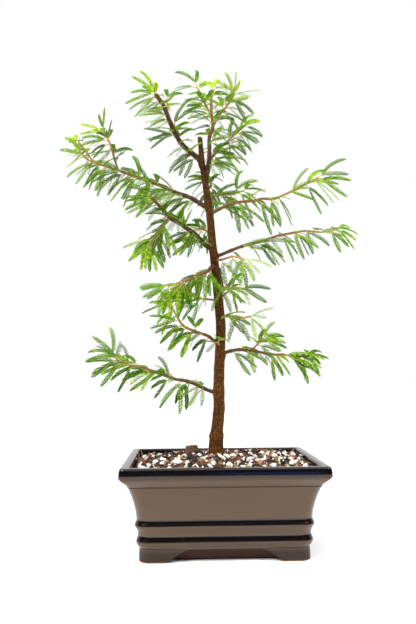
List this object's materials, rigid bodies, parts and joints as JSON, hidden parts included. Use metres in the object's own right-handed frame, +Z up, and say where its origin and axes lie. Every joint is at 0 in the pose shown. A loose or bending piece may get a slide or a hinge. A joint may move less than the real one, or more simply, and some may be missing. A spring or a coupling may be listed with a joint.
{
  "type": "potted bonsai tree",
  "caption": "Small powder puff bonsai with a straight brown trunk and airy feathered leaves, rooted in gritty soil in a rectangular glazed pot on bracket feet.",
  "frame": {"origin": "middle of the whole tree and pot's box, at the surface that the pot's feet stand on", "axes": "+X to the right along the pot's long side, +Y to the back, +Z up the trunk; the pictured front faces -Y"},
  "size_m": [0.2664, 0.121, 0.404],
  "materials": {
    "glazed_pot": "glossy near-black glaze over stoneware, brown where it thins",
    "drain_plastic": "moulded black mesh",
    "potting_mix": "loose grit of bark, perlite and lava",
    "trunk_bark": "warm brown bark with dark scaly patches",
    "dry_bark": "rough reddish-brown bark",
    "leafy_shoots": "living shoots: brown young bark with satin green leaflets"
  },
  "bodies": {
    "root": {"pot": "glazed_pot", "drain_mesh_left": "drain_plastic", "drain_mesh_right": "drain_plastic", "soil": "potting_mix", "trunk": "trunk_bark", "bark_chunk": "dry_bark", "left_low_branch": "leafy_shoots", "left_mid_branch": "leafy_shoots", "left_thin_branch": "leafy_shoots", "front_left_branch": "leafy_shoots", "left_second_branch": "leafy_shoots", "left_long_branch": "leafy_shoots", "left_upper_branch": "leafy_shoots", "leader_shoot": "leafy_shoots", "right_slanted_branch": "leafy_shoots", "right_upper_branch": "leafy_shoots", "right_arching_branch": "leafy_shoots", "right_long_branch": "leafy_shoots", "right_front_twig": "leafy_shoots", "right_mid_twig": "leafy_shoots", "right_lower_twig": "leafy_shoots", "right_low_branch": "leafy_shoots", "back_high_branch": "leafy_shoots", "back_middle_branch": "leafy_shoots", "back_lower_branch": "leafy_shoots", "low_spur": "leafy_shoots"}
  },
  "joints": []
}
